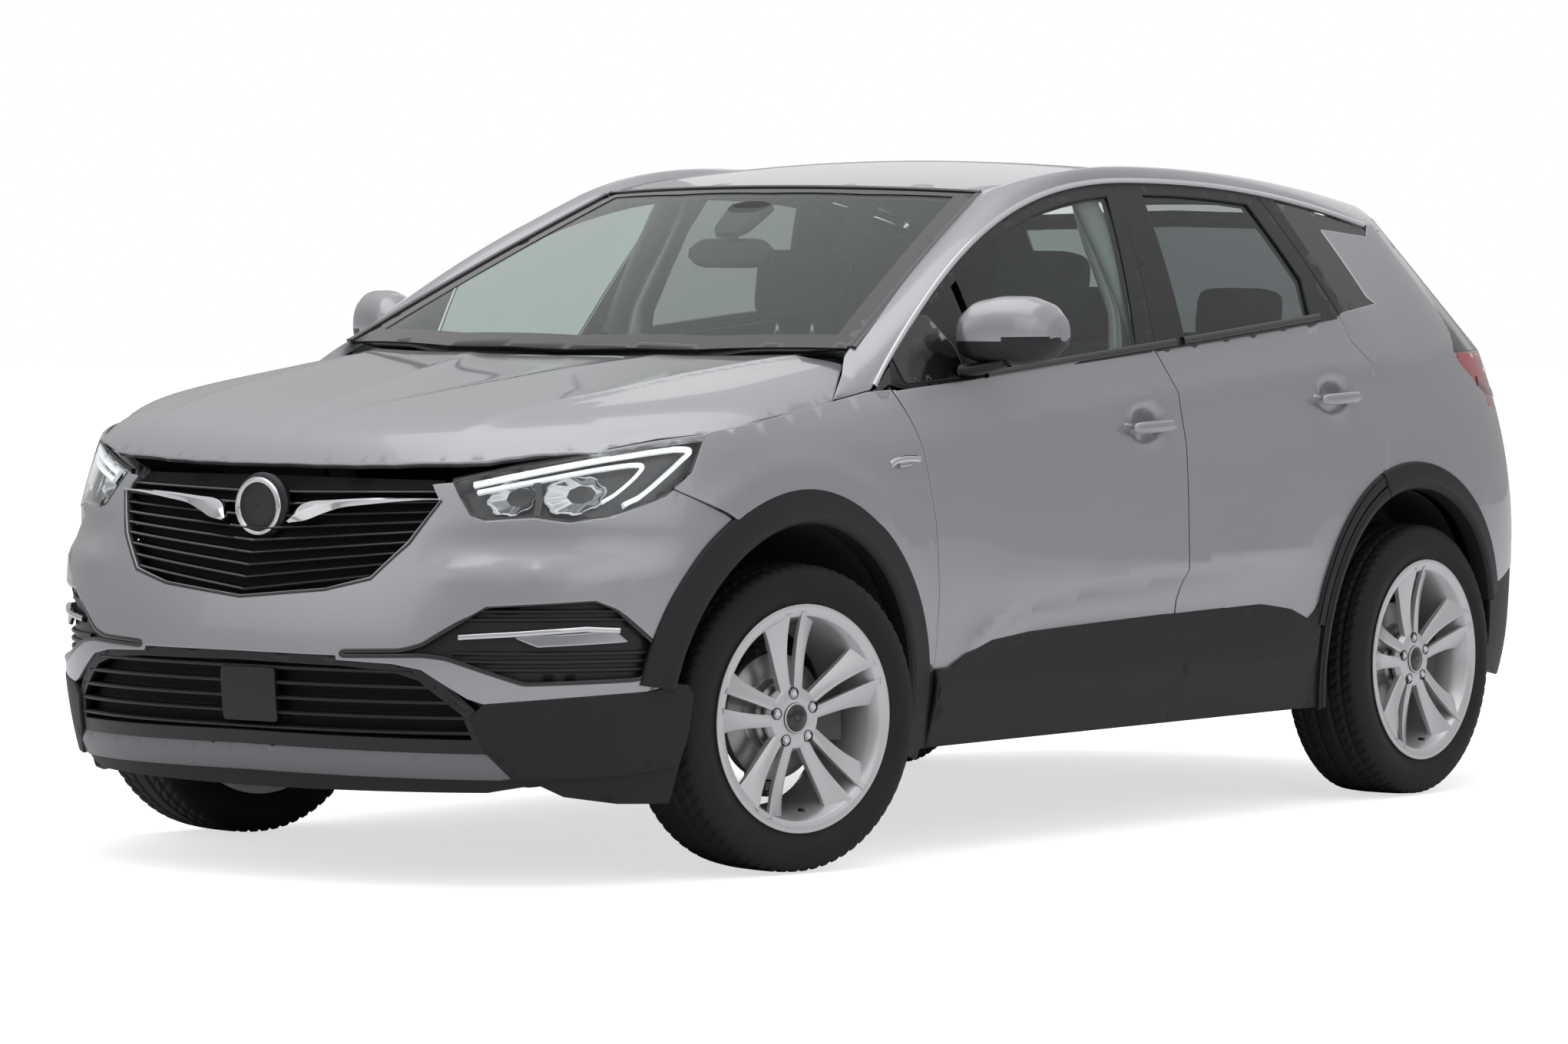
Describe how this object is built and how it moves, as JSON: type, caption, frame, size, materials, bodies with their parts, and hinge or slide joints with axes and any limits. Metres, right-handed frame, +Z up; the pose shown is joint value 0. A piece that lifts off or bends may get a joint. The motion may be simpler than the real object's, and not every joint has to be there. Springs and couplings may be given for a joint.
{
  "type": "compact crossover car",
  "caption": "Compact crossover car with side doors, bonnet and tailgate that open, steered front wheels, rolling wheels and a furnished cabin.",
  "frame": {"origin": "on the ground, midway along the car's length and width", "axes": "the car faces -Y, its left side is +X, +Z is up"},
  "size_m": [2.096, 4.4766, 1.6181],
  "materials": {
    "body_paint": "metallic clear coat",
    "dark_trim": "grained",
    "tyre_rubber": "matte",
    "alloy": "silver lacquer",
    "disc_iron": "machined",
    "cast_part": "rough",
    "clear_glass": "tinted",
    "dark_glass": "privacy tint",
    "lamp_clear": "clear lens",
    "lamp_red": "red lens",
    "chassis": "satin black",
    "exhaust_steel": "dull",
    "cabin_plastic": "grained",
    "seat_cloth": "woven"
  },
  "bodies": {
    "body": {"body_side_left": "body_paint", "body_side_right": "body_paint", "roof": "body_paint", "windscreen": "clear_glass", "quarter_glass": "dark_glass", "scuttle": "dark_trim", "floor_pan": "chassis", "wheel_liners": "dark_trim", "front_bumper": "body_paint", "headlamps": "lamp_clear", "front_wings": "body_paint", "grille": "dark_trim", "lower_grille": "dark_trim", "tail_lamps": "lamp_red", "rear_bumper": "body_paint", "front_subframe": "chassis", "rear_axle": "chassis", "engine": "cast_part", "exhaust": "exhaust_steel", "dashboard": "cabin_plastic", "front_seats": "seat_cloth", "rear_seat": "seat_cloth"},
    "bonnet": {"bonnet": "body_paint"},
    "tailgate": {"tailgate": "body_paint", "tailgate_glass": "dark_glass"},
    "steering_wheel": {"steering_wheel": "cabin_plastic"},
    "front_door_left": {"front_door_left": "body_paint", "front_door_glass_left": "clear_glass", "mirror_left": "body_paint"},
    "rear_door_left": {"rear_door_left": "body_paint", "rear_door_glass_left": "dark_glass"},
    "knuckle_left": {"knuckle_left": "cast_part"},
    "front_wheel_left": {"front_tyre_left": "tyre_rubber", "front_rim_left": "alloy", "front_brake_disc_left": "disc_iron"},
    "rear_wheel_left": {"rear_tyre_left": "tyre_rubber", "rear_rim_left": "alloy", "rear_brake_disc_left": "disc_iron"},
    "front_door_right": {"front_door_right": "body_paint", "front_door_glass_right": "clear_glass", "mirror_right": "body_paint"},
    "rear_door_right": {"rear_door_right": "body_paint", "rear_door_glass_right": "dark_glass"},
    "knuckle_right": {"knuckle_right": "cast_part"},
    "front_wheel_right": {"front_tyre_right": "tyre_rubber", "front_rim_right": "alloy", "front_brake_disc_right": "disc_iron"},
    "rear_wheel_right": {"rear_tyre_right": "tyre_rubber", "rear_rim_right": "alloy", "rear_brake_disc_right": "disc_iron"}
  },
  "joints": [
    {"name": "steer_left", "type": "hinge", "parent": "body", "child": "knuckle_left", "pos_m": [0.777, -1.31, 0.348], "axis": [0, 0, 1], "range_deg": [-22.2, 47.8]},
    {"name": "steer_right", "type": "hinge", "parent": "body", "child": "knuckle_right", "pos_m": [-0.777, -1.31, 0.348], "axis": [0, 0, 1], "range_deg": [-22.2, 47.8]},
    {"name": "steering_wheel_turn", "type": "hinge", "parent": "body", "child": "steering_wheel", "pos_m": [0.37, -0.455, 0.985], "axis": [0, 0.9135, 0.4067], "range_deg": [-333, 717]},
    {"name": "front_spin_left", "type": "hinge", "parent": "knuckle_left", "child": "front_wheel_left", "pos_m": [0.7965, -1.31443, 0.348], "axis": [0.9751, -0.2215, 0], "continuous": true},
    {"name": "front_spin_right", "type": "hinge", "parent": "knuckle_right", "child": "front_wheel_right", "pos_m": [-0.7965, -1.30557, 0.348], "axis": [0.9751, -0.2215, 0], "continuous": true},
    {"name": "rear_spin_left", "type": "hinge", "parent": "body", "child": "rear_wheel_left", "pos_m": [0.8, 1.365, 0.348], "axis": [1, 0, 0], "continuous": true},
    {"name": "rear_spin_right", "type": "hinge", "parent": "body", "child": "rear_wheel_right", "pos_m": [-0.8, 1.365, 0.348], "axis": [1, 0, 0], "continuous": true},
    {"name": "front_door_hinge_left", "type": "hinge", "parent": "body", "child": "front_door_left", "pos_m": [0.878, -0.778, 0.63], "axis": [0, 0, -1], "range_deg": [0, 65]},
    {"name": "rear_door_hinge_left", "type": "hinge", "parent": "body", "child": "rear_door_left", "pos_m": [0.878, 0.278, 0.63], "axis": [0, 0, -1], "range_deg": [0, 65]},
    {"name": "front_door_hinge_right", "type": "hinge", "parent": "body", "child": "front_door_right", "pos_m": [-0.878, -0.778, 0.63], "axis": [0, 0, 1], "range_deg": [0, 65]},
    {"name": "rear_door_hinge_right", "type": "hinge", "parent": "body", "child": "rear_door_right", "pos_m": [-0.878, 0.278, 0.63], "axis": [0, 0, 1], "range_deg": [0, 65]},
    {"name": "bonnet_hinge", "type": "hinge", "parent": "body", "child": "bonnet", "pos_m": [0, -0.962, 1.146], "axis": [-1, 0, 0], "range_deg": [0, 50]},
    {"name": "tailgate_hinge", "type": "hinge", "parent": "body", "child": "tailgate", "pos_m": [0, 1.442, 1.55285], "axis": [1, 0, 0], "range_deg": [0, 75]}
  ],
  "couplings": [
    {"joint": "steer_right", "follows": "steer_left", "ratio": 1},
    {"joint": "steering_wheel_turn", "follows": "steer_left", "ratio": 15}
  ]
}
